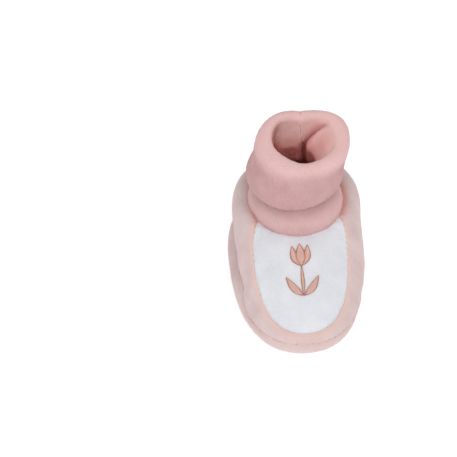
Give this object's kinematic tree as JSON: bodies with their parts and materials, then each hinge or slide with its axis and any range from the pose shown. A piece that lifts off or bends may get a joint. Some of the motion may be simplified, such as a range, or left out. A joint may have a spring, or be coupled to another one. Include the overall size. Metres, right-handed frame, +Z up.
{
  "type": "baby bootie",
  "caption": "Soft baby bootie: rounded padded velour shoe with a pale vamp, embroidered tulip and a turned-down rib-knit cuff.",
  "frame": {"origin": "on the floor, under the middle of the bootie's overall box", "axes": "+Z up out of the leg opening, toe towards -Y, heel towards +Y, +X to the left of someone looking from heel to toe"},
  "size_m": [0.0635, 0.106, 0.079],
  "materials": {
    "pink_velour": "short-pile cotton velour, dusty pink",
    "white_velour": "short-pile cotton velour, off-white",
    "rib_knit": "fine doubled rib jersey, rose pink",
    "wadding": "polyester wadding",
    "lining_jersey": "plain cotton jersey",
    "backing_sheet": "non-woven embroidery backing",
    "embroidery_thread": "satin-stitched rayon thread",
    "seam_thread": "spun polyester sewing thread"
  },
  "bodies": {
    "root": {"outsole": "pink_velour", "side_band": "pink_velour", "vamp": "white_velour", "rib_cuff": "rib_knit", "sole_wadding": "wadding", "band_wadding": "wadding", "vamp_wadding": "wadding", "sole_lining": "lining_jersey", "band_lining": "lining_jersey", "vamp_lining": "lining_jersey", "embroidery_backing": "backing_sheet", "embroidery_bloom": "embroidery_thread", "embroidery_stem": "embroidery_thread", "embroidery_leaves": "embroidery_thread", "sole_seam_thread": "seam_thread", "vamp_seam_thread": "seam_thread", "ankle_seam_thread": "seam_thread", "heel_seam_thread": "seam_thread", "cuff_seam_thread": "seam_thread"}
  },
  "joints": []
}
